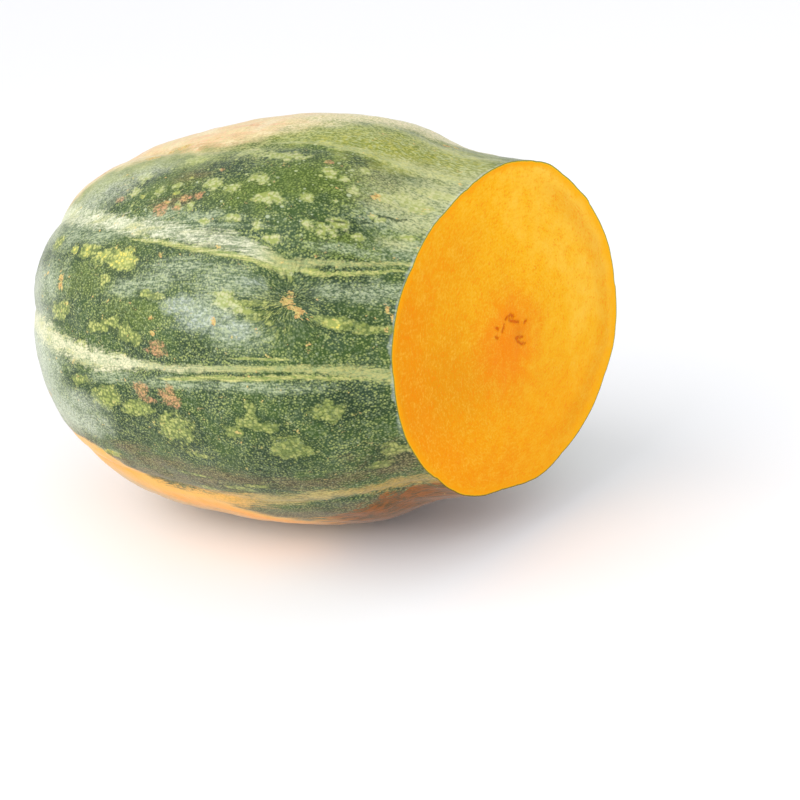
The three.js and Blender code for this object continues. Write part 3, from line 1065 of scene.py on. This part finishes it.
def add_unevenness(s, v):
    """Noises along the grain of the skin, most of them about -0.5 to 0.5."""
    v.grit = s.uneven(v.grain, 0.9)
    v.wander = s.uneven(v.grain, 5, 3)
    v.drift = s.uneven(v.grain, 11)
    v.broad = s.noise(v.grain, 26, 3)
    long_grain = s.scaled(v.grain, (0.07, 1, 1))
    v.streak = s.uneven(long_grain, 1.3, 3, 0.65)
    v.wide_streak = s.uneven(long_grain, 4)
    v.thread = s.uneven(s.scaled(v.grain, (0.55, 1, 1)), 0.7, 3, 0.65)
    v.hair = s.uneven(s.scaled(v.grain, (0.16, 1, 1)), 0.75, 3, 0.65)
    v.ragged = s.uneven(v.grain, 2.4)
    v.edge = v.wander * 1.6 + (v.ragged * 1.9 + v.grit * 0.6)


def add_patch_masks(s, v):
    """How much each kind of patch covers, with ragged edges."""

    def patch(field, low, high):
        return s.step(field + v.edge, low, high)

    v.yellow_mask = patch(v.yellow, -0.3, 0.35)
    v.gold_mask = patch(v.gold, -0.25, 0.45)
    v.pale_mask = patch(v.pale, -0.2, 0.4)
    v.rust_mask = patch(v.rust, -0.3, 0.45)
    v.haze_mask = s.step(v.haze + (v.wander + v.streak * 1.8), -0.45, 0.8)
    v.olive_mask = s.step(v.olive + v.drift * 2, -0.4, 0.5)
    v.sallow_mask = s.step(v.sallow + (v.drift * 1.5 + v.streak * 0.8), -0.4, 0.5)
    v.brown_mask = s.step(v.brown + (v.streak * 2.5 + v.drift * 1.5), -0.6, 0.8)
    v.limb_mask = s.step(v.limb + v.drift * 1.2, -0.5, 0.9)
    v.bloom_mask = s.step(v.bloom + (v.drift * 1.2 + v.edge * 0.6), -0.2, 0.9)
    v.beside = s.step(v.yellow + v.edge, -0.95, -0.35) * s.fall(v.yellow_mask, 0, 1)


def add_stripe_masks(s, v):
    """How much the stripes, their strands and their shoulders cover."""
    fray = s.between(
        s.step(v.along, 90, 140),
        v.streak * 3 + v.hair * 1.4,
        v.streak * 2.2 + v.hair * 0.5 + (v.thread * 1.4 + v.ragged * 1.4),
    )

    def line(distance, width):
        depth = 1 - abs(distance + v.wander * 1.2) / s.most(width, 0.05)
        return s.step(depth + fray, -0.6, 0.6) * s.step(width, 0.02, 0.5)

    v.stripe_mask = line(v.stripe, v.stripe_width)
    v.strand_mask = s.most(line(v.below, v.below_width), line(v.above, v.above_width))
    beside = s.fall(abs(v.stripe) + v.streak * 6, 1, 8)
    v.shoulder = beside * s.step(v.stripe_width, 0.1, 0.8)


def green_ground(s, v):
    """The skin between the specks."""
    return s.layers(
        s.mix(s.step(v.broad, 0.38, 0.62), DEEP_GREEN, LEAF_GREEN),
        (s.step(v.drift, -0.05, 0.2) * 0.6, BLUE_GREEN),
        (v.brown_mask * 0.8, BROWN_GREEN),
        (v.olive_mask * 0.55, OLIVE_GREEN),
        (v.beside * 0.6, DEEP_GREEN),
        (v.yellow_mask * 0.6, OLIVE_GREEN),
        (v.sallow_mask, SALLOW_GREEN),
    )


def speck_amount(s, v):
    """How much of the skin the specks cover."""
    amount = s.most(
        v.yellow_mask * 0.5, v.pale_mask * 0.8, v.haze_mask * 0.35,
        v.shoulder * 0.3, v.sallow_mask * 0.6, v.bloom_mask * 0.4,
    )
    return amount - v.beside * 0.45 + (v.drift * 0.7 + (v.thread * 1.2 + v.wander * 1.3))


def speckled_green(s, v):
    """Green skin under specks of three sizes."""
    amount = speck_amount(s, v)
    distance, pick, shade = s.cells(v.grain, FINE_SPECKS)
    reach = pick * 0.24 + (amount * 0.24 + 0.33)
    fine = s.step(reach - distance, -0.26, 0.26)
    far, chosen, size = s.cells(v.grain, BRIGHT_SPECKS)
    bright = s.step(size * 0.14 + 0.12 - far, -0.09, 0.09)
    bright = bright * s.step(chosen + amount * 0.4, 0.35, 0.75)
    wide, taken, width = s.cells(v.grain, SPOTS)
    spot = s.step(width * 0.12 + 0.1 - wide, -0.06, 0.06)
    spot = spot * s.step(taken + v.spotted * 0.7, 0.65, 0.85)

    tint = s.step(s.noise(v.grain, 2.6) + (shade - 0.5) * 0.25, 0.36, 0.64)
    fine_tone = s.layers(
        s.mix(tint, SPECK_BLUE, SPECK_GREEN),
        (s.step(shade + (v.wander * 0.8 + v.drift * 1.2), 0.35, 1, 0, 0.5), SPECK_YELLOW),
        (v.olive_mask * s.step(v.along, 90, 125, 0.5, 0.1), SPECK_OLIVE),
        (v.brown_mask * 0.7, SPECK_BROWN),
    )
    bright_tone = s.mix(tint, SPECK_WHITE, SPECK_YELLOW)
    fine_share = s.step(shade, -0.2, 0.8, 0.6, 1) * s.step(v.spotted, 0, 0.8, 1, 0.85)
    v.cover = s.most(fine, s.most(bright * 0.9, spot))
    return s.layers(
        green_ground(s, v),
        (fine * fine_share, fine_tone),
        (bright * s.step(v.spotted, -0.3, 0.5, 0.55, 0.8), bright_tone),
        (spot * 0.85, bright_tone),
    )


def grown_patches(s, v, colour):
    """Patches of pale crumbs, the waxy coat on the crest that is partly a painted highlight, pale
    threads that are partly painted sheen, and painted sheen at the blossom end and along the top of
    the neck.
    """
    v.crumb = s.step(v.thread * 0.8 + (v.grit * 0.8 + v.cover * 0.1), -0.07, 0.15)
    v.patch_tint = s.step(s.noise(v.grain, 1.5) + v.wander * 0.4, 0.38, 0.62)
    distance, pick, size = s.cells(v.grain, CLUMPS)
    clump = s.step(size * 0.24 + 0.34 - distance + v.grit * 0.5, -0.2, 0.16)
    clump_tint = s.step(pick + v.wander * 0.8, 0.2, 0.8)

    def grained(dark, light, other):
        """Crumbs in two tones, with dark between them."""
        return s.mix(v.crumb, dark, s.mix(v.patch_tint, light, other))

    def clumped(dark, light, other):
        """The same with larger crumbs."""
        return s.mix(clump, dark, s.mix(clump_tint, light, other))

    fibres = v.hair + v.grit * 0.5 + (v.thread * 0.4 + v.cover * 0.08)
    threads = s.step(fibres, -0.12, 0.22)
    sallow_grain = s.step(v.hair * 1.2 + (v.thread * 0.6 + v.grit * 0.5), -0.16, 0.2)
    sallow_tone = s.mix(v.patch_tint, SPECK_SALLOW, PATCH_PALE)
    strength = s.between(s.step(v.along, 60, 145), 0.56, 0.92)
    rust_share = v.rust_mask * s.between(v.crumb, 0.55, 0.9)
    limb_tone = s.mix(s.step(v.along, 60, 90), PATCH_CREAM, LIMB_SHEEN_PALE)
    return s.layers(
        colour,
        # Pale threads, partly painted sheen.
        (v.haze_mask * 0.62, s.mix(threads, HAZE_DARK, HAZE_SHEEN_LIGHT)),
        (v.sallow_mask * 0.88, s.mix(sallow_grain, SALLOW_GREEN, sallow_tone)),
        (v.yellow_mask * strength, clumped(PATCH_DARK, PATCH_YELLOW, PATCH_GREEN)),
        (v.gold_mask * 0.9, clumped(PATCH_GREEN, PATCH_GOLD, PATCH_YELLOW)),
        (v.pale_mask * 0.8, clumped(PATCH_GREEN, PATCH_PALE, PATCH_CREAM)),
        (rust_share, grained(RUST_BROWN, RUST_PINK, RUST_ORANGE)),
        # Waxy crest patches, partly a painted highlight.
        (v.bloom_mask * 0.55, grained(BLOOM_HIGHLIGHT_GREY, BLOOM_HIGHLIGHT_WHITE, SPECK_WHITE)),
        # Painted sheen at the blossom end and along the top of the neck.
        (v.limb_mask * s.between(v.crumb, 0.24, 0.62), limb_tone),
    )


def soil_skin(s, v):
    """Orange where the squash lay on the soil. Under the neck it turns dark brown, partly the
    skin's own brown and partly painted shade.
    """
    soil_deep = v.soil + v.streak * 10
    soil_tone = s.layers(
        s.mix(s.step(soil_deep, 0, 8), SOIL_YELLOW, SOIL_ORANGE),
        (s.step(v.streak + v.wide_streak, 0.05, 0.3, 0, 0.7), SOIL_TAN),
        (s.step(v.drift + v.streak * 0.8, 0.02, 0.24, 0, 0.7), SOIL_YELLOW),
        (s.step(soil_deep, 8, 28, 0, 0.8), SOIL_EARTH),
        (s.step(v.ragged + v.thread * 0.7, 0.2, 0.34, 0, 0.5), CORK_BROWN),
    )
    # Painted shade under the neck: the ground darkens to brown there.
    neck_shade = s.fall(v.along + v.streak * 40, 58, 92)
    neck_shade_tone = s.mix(s.step(v.streak + v.wide_streak * 0.5, -0.14, 0.12), SOIL_DULL_SHADED, SOIL_BROWN_SHADED)
    return s.mix(neck_shade, soil_tone, neck_shade_tone)


def sun_skin(s, v):
    """Tan where the sun bleached it."""
    sun_tone = s.layers(
        s.mix(s.step(v.streak + v.wander, -0.18, 0.18), SUN_TAN, SUN_YELLOW),
        (s.step(v.wide_streak + v.grit * 0.6, 0.02, 0.22, 0, 0.8), SUN_PINK),
        (s.step(v.drift + v.thread * 0.8, 0, 0.25, 0, 0.8), SUN_PALE),
        (s.step(v.wide_streak + v.ragged * 0.6, 0.1, 0.3, 0, 0.6), SUN_RUST),
        (s.step(v.streak + v.thread * 0.5, 0.14, 0.32, 0, 0.5), SUN_RUST),
    )
    sun_green = s.fall(v.along + v.drift * 60, 62, 100)
    return s.mix(sun_green, sun_tone, s.mix(v.crumb, SUN_OLIVE, SUN_PALE))


def orange_ground(s, v, colour):
    """Orange ground under and over the green."""
    soil_rough = s.step(v.along, 60, 110, 2.4, 1) * (v.streak * 8 + v.wide_streak * 8)
    soil_mask = s.step(v.soil + soil_rough, -2.5, 2)
    soil_halo = s.step(v.soil + soil_rough * 1.5, -14, 0, 0, 0.35)
    sun_rough = v.streak * 12 + (v.wander * 12 + v.drift * 14)
    sun_mask = s.step(v.sun + sun_rough, -8, 9)
    sun_halo = s.step(v.sun + sun_rough * 1.3, -24, -2, 0, 0.65)
    halo_dark = s.mix(s.step(v.along, 90, 130), OLIVE_GREEN, PATCH_GREEN)
    return s.layers(
        colour,
        (sun_halo, s.mix(v.crumb, halo_dark, SPECK_YELLOW)),
        (soil_halo, s.mix(v.crumb, BROWN_GREEN, SPECK_BROWN)),
        (soil_mask * s.between(v.cover, 0.94, 1), soil_skin(s, v)),
        (sun_mask * s.between(v.crumb, 0.8, 0.97), sun_skin(s, v)),
    )


def striped(s, v, colour):
    """Stripes, made of strands along the furrow."""
    strand = s.uneven(s.scaled(v.grain, (0.05, 1, 1)), 0.8, 2, 0.6)
    lint = v.hair * 0.9 + (v.thread * 0.4 + (v.grit * 0.3 + strand * 0.6))
    crumbs = v.hair * 0.4 + (v.thread * 0.7 + v.grit * 0.7)
    lint = s.between(s.step(v.along, 90, 140), lint, crumbs + v.wander * 0.3)
    lint = s.step(lint, -0.18, 0.2, 0.05, 0.92)
    worn = s.step(v.along, 70, 140, 0.9, 0) * s.fall(v.turn, 45, 60)
    frost = s.within(v.turn, (22, 30), (46, 54)) * s.within(v.along, (62, 84), (120, 150))
    stripe_tone = s.layers(
        s.mix(s.step(v.turn, 14, 28), STRIPE_IVORY, STRIPE_CREAM),
        (s.step(v.wide_streak, -0.02, 0.2, 0, 0.8), STRIPE_YELLOW),
        (worn * s.step(frost, 0, 1, 1, 0.1), STRIPE_OLIVE),
        (s.step(v.turn, 56, 68, 0, 0.75), SPECK_SALLOW),
    )
    low_tone = s.mix(s.step(v.along, 40, 62), STRIPE_TAN, STRIPE_SAND)
    low_tone = s.mix(s.step(v.along, 82, 108), low_tone, SOIL_YELLOW)
    low_stripe = s.fall(v.turn, -28, -24)
    stripe_tone = s.mix(low_stripe, stripe_tone, low_tone)
    low_shade = s.mix(s.step(v.along, 90, 120), STRIPE_DARK, SOIL_YELLOW)
    shade_tone = s.mix(low_stripe, STRIPE_SHADE, low_shade)
    shade_tone = s.mix(frost * 0.6, shade_tone, HAZE_DARK)
    worn = worn * s.step(low_stripe + frost, 0, 1, 0.7, 0)
    stripe_tone = s.mix(lint, s.mix(worn, shade_tone, STRIPE_GREEN), stripe_tone)
    strand_tone = s.mix(lint, STRIPE_GREEN, STRIPE_YELLOW)
    colour = s.mix(v.strand_mask * s.between(v.cover, 0.7, 0.92), colour, strand_tone)
    stripe_share = s.between(v.cover, 0.76, 0.92) * s.step(v.soil, 2, 10, 1, 0.45)
    stripe_share = stripe_share * s.step(v.turn, 56, 68, 1, 0.62)
    gaps = v.drift * 1.2 + (v.thread * 1.2 + v.ragged)
    stripe_share = stripe_share * s.step(gaps, -0.4, 0.05, 0.55, 1)
    return s.mix(v.stripe_mask * stripe_share, colour, stripe_tone)


def rim_highlight(s, v, colour):
    """The rim of the cut, where the skin is painted pale as a highlight."""
    rim_glint = s.step(v.rim + v.wander * 4, 0.1, 1, 0.3, 0) * s.step(v.turn, -22, -4)
    return s.mix(rim_glint, colour, BLOOM_HIGHLIGHT_WHITE)


def folded(s, v, colour):
    """Folds that run to the healed scar. Their hollows are painted dark green as shade."""
    away = s.length(v.across, v.upward)
    spread = s.most(away, 0.3)
    spoke = s.vector(v.across / spread, v.upward / spread, away * 0.03)
    v.rays = s.uneven(spoke, 0.1, 3, 0.7)
    v.near = s.fall(away + v.wander * 14, 5, 21) * s.step(away, 1, 3)
    under = s.step(v.upward + v.across * 0.3, 2, -5) * s.step(v.across, 3, -2)
    ray_tone = s.mix(under, SPECK_BLUE, PATCH_YELLOW)
    return s.layers(
        colour,
        (v.near * s.step(v.rays, 0, 0.14, 0, s.between(under, 0.35, 0.66)), ray_tone),
        # Painted shade in the hollows of the folds.
        (v.near * s.step(v.rays, -0.12, 0.03, 0.66, 0), DEEP_GREEN),
    )


def corky(s, v, colour):
    """Cork on the healed scar and in spots."""
    v.cork_mask = s.step(v.cork + (v.edge * 1.6 + v.grit * 1.5), -0.15, 0.35)
    cork_tone = s.mix(v.patch_tint, CORK_TAN, CORK_YELLOW)
    cork_tone = s.mix(s.step(v.thread + v.grit * 0.8, -0.12, 0.06, 0.8, 0), cork_tone, CORK_BROWN)
    return s.mix(v.cork_mask * 0.9, colour, cork_tone)


def blossom_scar(s, v, colour):
    """A tan button with a darker ring and centre."""
    button = s.fall(v.end + v.edge * 1.2, 4.2, 6.4)
    ring = s.step(v.end + v.edge * 0.8, 2.6, 4.4) * s.fall(v.end, 5, 6.4)
    button_tone = s.layers(
        s.mix(s.step(v.thread + v.grit * 1.2, -0.14, 0.14), BUTTON_BROWN, BUTTON_TAN),
        (ring * 0.65, BUTTON_BROWN),
        (s.step(v.end + v.edge * 0.5, 0.8, 1.7, 0.85, 0), BUTTON_DARK),
    )
    return s.mix(button, colour, button_tone)


def cracked(s, v, colour):
    """The fine crack in the skin above the pucker."""
    v.crack_mask = s.step(v.crack + v.grit * 0.8, 0.25, 0.75, 0.75, 0)
    return s.mix(v.crack_mask, colour, DEEP_GREEN)


def rind_material(name):
    s = Shader(name)
    v = rind_places(s)
    add_unevenness(s, v)
    add_patch_masks(s, v)
    add_stripe_masks(s, v)
    colour = speckled_green(s, v)
    for paint in (
        grown_patches, orange_ground, striped, rim_highlight, folded, corky, blossom_scar, cracked,
    ):
        colour = paint(s, v, colour)

    dull = s.most(v.cork_mask, v.rust_mask * 0.6)
    roughness = v.grit * 0.14 + s.between(dull, RIND_ROUGHNESS, CORK_ROUGHNESS)
    height = (
        v.cover * 0.03 + v.streak * 0.08 + (v.wander * 0.1 + v.grit * 0.05)
        + v.near * v.rays * 0.5 + v.cork_mask * (v.grit * 0.5) - v.crack_mask * 0.25
    )
    return s.finish(colour, roughness, height, RIND_SPECULAR, RIND_COAT, RIND_SHEEN)


# ---- the flesh --------------------------------------------------------------------------

FLESH_ROUGHNESS = 0.46
FLESH_SPECULAR = 0.05
CORE_RIGHT = -7             # mm from the centre of the cut to the middle of the core
CORE_UP = -3

FLESH_ORANGE = (0.76, 0.29, 0)
FLESH_YELLOW = (0.89, 0.455, 0.006)
FLESH_PALE = (0.9, 0.55, 0.06)
# Lower flesh, painted darker as shade.
FLESH_LOW_SHADED = (0.89, 0.37, 0)
FLESH_DEEP = (0.86, 0.235, 0)
FLESH_EDGE = (0.88, 0.34, 0)
FLESH_RIGHT_EDGE = (0.9, 0.415, 0)
CORE_ORANGE = (0.76, 0.16, 0)
CORE_RED = (0.62, 0.095, 0)
RIM_GREEN = (0.14, 0.2, 0.02)
RIM_DARK = (0.06, 0.06, 0.015)
RIM_PALE = (0.7, 0.52, 0.03)


def flesh_places(s):
    """Places and noises in the plane of the cut: fibres run out from its centre."""
    v = SimpleNamespace()
    v.right, v.up, v.depth = s.three("cut")
    v.marks, _, _ = s.three("core")
    plane = s.vector(v.right, v.up, 0)
    away = s.length(v.right, v.up)
    spread = s.most(away, 1)
    spoke = s.vector(v.right / spread, v.up / spread, away * 0.02)
    v.fibre = s.uneven(spoke, 0.035, 2, 0.6)
    v.fine = s.uneven(plane, 1, 3, 0.65)
    rings = s.vector(v.right * 0.3, v.up * 0.3, away)
    v.strokes = s.uneven(rings, 0.75, 3, 0.65)
    v.mottle = s.uneven(plane, 7, 3)
    v.cloud = s.uneven(plane, 30)
    return v


def flesh_colours(s, v):
    """Deeper orange on the left and in the middle, yellow at the top and right. The change from
    lower left to upper right is partly the flesh's own tone and partly painted shade and light.
    """
    # Painted light and shade: paler towards the upper right, darker towards the lower left.
    lit_lean = v.right * 0.6 + (s.most(v.up, -20) * 0.5 + v.cloud * 60)
    ring = s.within(v.depth, (1.5, 6), (12, 26))
    ring = ring * s.step(lit_lean + v.mottle * 50, -60, 20, 0.4, 0)
    v.core_away = s.length(v.right - CORE_RIGHT, v.up - CORE_UP) + (v.mottle * 18 + v.fibre * 16)
    band = s.step(v.depth + v.mottle * 8, 4, 9) * s.fall(v.depth, 11, 20)
    tone = v.fibre * 0.45 + (v.fine * 0.9 + v.strokes * 0.75)
    tone = (tone + v.mottle * 0.4) * 1.7
    return s.layers(
        s.mix(s.step(lit_lean, -42, 38), FLESH_ORANGE, FLESH_YELLOW),
        (s.step(v.up + v.mottle * 20, -45, -8, 0.75, 0), FLESH_LOW_SHADED),
        (s.step(lit_lean + v.mottle * 40, 16, 60, 0, 0.85), FLESH_PALE),
        (ring, FLESH_DEEP),
        (s.step(v.core_away, 2, 33, 0.92, 0), FLESH_DEEP),
        (band * s.step(v.right, 12, 40, 0, 0.42), FLESH_ORANGE),
        (s.step(tone, -0.12, 0.55, 0, 0.42), FLESH_PALE),
        (s.step(tone, -0.5, 0, 0.65, 0), FLESH_DEEP),
    )


def flesh_rim(s, v, colour):
    """Darker flesh under the rind, and the cut edge of the rind itself."""
    edge_tone = s.mix(s.step(v.right, -10, 40), FLESH_EDGE, FLESH_RIGHT_EDGE)
    rim_tone = s.mix(s.step(v.up + v.mottle * 60, -50, -25), RIM_DARK, RIM_GREEN)
    inside = s.step(v.right, 20, 60, 3.5, 8)
    return s.layers(
        colour,
        (s.step(v.depth + v.mottle * 4, 1, inside, 0.95, 0), edge_tone),
        (s.step(v.depth + v.fine * 0.5, 0.4, 1, 0.6, 0), RIM_PALE),
        (s.step(v.depth + v.fine * 0.5, 0.2, 0.6, 0.9, 0), rim_tone),
    )


def flesh_core(s, v, colour):
    """The seedy middle and the scratches that are left in it."""
    seedy = s.step(v.core_away, 6, 26, 0.5, 0) * s.step(v.fine + v.mottle * 0.3, 0.08, 0.26)
    v.scratch = s.step(v.marks + v.fine * 1.6, 0.2, 1, 0.75, 0)
    return s.layers(colour, (seedy, CORE_ORANGE), (v.scratch, CORE_RED))


def flesh_material(name):
    s = Shader(name)
    v = flesh_places(s)
    colour = flesh_core(s, v, flesh_rim(s, v, flesh_colours(s, v)))
    grain = v.fibre * 0.16 + (v.fine * 0.14 + (v.mottle * 0.12 + v.strokes * 0.12))
    return s.finish(colour, v.fine * 0.2 + FLESH_ROUGHNESS, grain - v.scratch * 0.3, FLESH_SPECULAR)


# ---- the scene --------------------------------------------------------------------------

def make_camera():
    data = bpy.data.cameras.new("camera")
    data.sensor_width = SENSOR_WIDTH
    data.lens = SENSOR_WIDTH * FOCAL_PIXELS / IMAGE_WIDTH
    camera = bpy.data.objects.new("camera", data)
    bpy.context.collection.objects.link(camera)
    turn = (
        Matrix.Rotation(math.radians(CAMERA_TURN), 4, "Z")
        @ Matrix.Rotation(math.radians(90 - CAMERA_DOWN), 4, "X")
        @ Matrix.Rotation(math.radians(-CAMERA_ROLL), 4, "Z")
    )
    place = Vector(CUT_PLACE) + Vector(CAMERA_FROM_CUT)
    camera.matrix_world = Matrix.Translation(place) @ turn
    bpy.context.scene.camera = camera


def make_sky():
    world = bpy.data.worlds.new("studio")
    world.use_nodes = True
    background = world.node_tree.nodes["Background"]
    background.inputs["Color"].default_value = (1, 1, 1, 1)
    background.inputs["Strength"].default_value = SKY_STRENGTH
    bpy.context.scene.world = world


def make_light(name, kind, direction, distance, strength, **settings):
    data = bpy.data.lights.new(name, kind)
    data.energy = strength
    for key, value in settings.items():
        setattr(data, key, value)
    light = bpy.data.objects.new(name, data)
    away = Vector(direction).normalized()
    light.location = Vector(LIGHTS_AIM) + away * distance
    light.rotation_mode = "QUATERNION"
    light.rotation_quaternion = away.to_track_quat("Z", "Y")
    bpy.context.collection.objects.link(light)


def make_area_light(name, direction, distance, power, width, height):
    make_light(
        name, "AREA", direction, distance, power, shape="RECTANGLE", size=width, size_y=height,
    )


def make_floor():
    bpy.ops.mesh.primitive_plane_add(size=FLOOR_SIZE, location=(0, 0, -FLOOR_GAP))
    floor = bpy.context.object
    floor.name = "floor"
    s = Shader("floor")
    s.feed(s.surface, {
        "Base Color": FLOOR_COLOUR,
        "Roughness": FLOOR_ROUGHNESS,
        "Specular IOR Level": FLOOR_SPECULAR,
    })
    floor.data.materials.append(s.material)


def make_squash(low, high):
    mesh = squash_mesh("squash_body", low, high)
    mesh.materials.append(rind_material("rind_grown"))
    mesh.materials.append(flesh_material("flesh_cut"))
    squash = bpy.data.objects.new("squash_body", mesh)
    bpy.context.collection.objects.link(squash)
    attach(squash, "root")
    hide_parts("squash")


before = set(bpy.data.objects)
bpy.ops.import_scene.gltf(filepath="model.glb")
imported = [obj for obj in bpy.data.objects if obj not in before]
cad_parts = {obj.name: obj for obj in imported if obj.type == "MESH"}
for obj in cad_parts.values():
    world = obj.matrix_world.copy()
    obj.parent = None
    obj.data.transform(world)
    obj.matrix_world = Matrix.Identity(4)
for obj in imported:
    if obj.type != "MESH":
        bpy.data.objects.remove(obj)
cad_low, cad_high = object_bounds()

bpy.context.scene.view_settings.view_transform = "Standard"
make_camera()
make_sky()
make_light("sun", "SUN", SUN_FROM, SUN_DISTANCE, SUN_STRENGTH, angle=math.radians(SUN_ANGLE))
make_area_light("window", *WINDOW)
make_area_light("fill", *FILL)
make_floor()
make_squash(np.array(cad_low), np.array(cad_high))
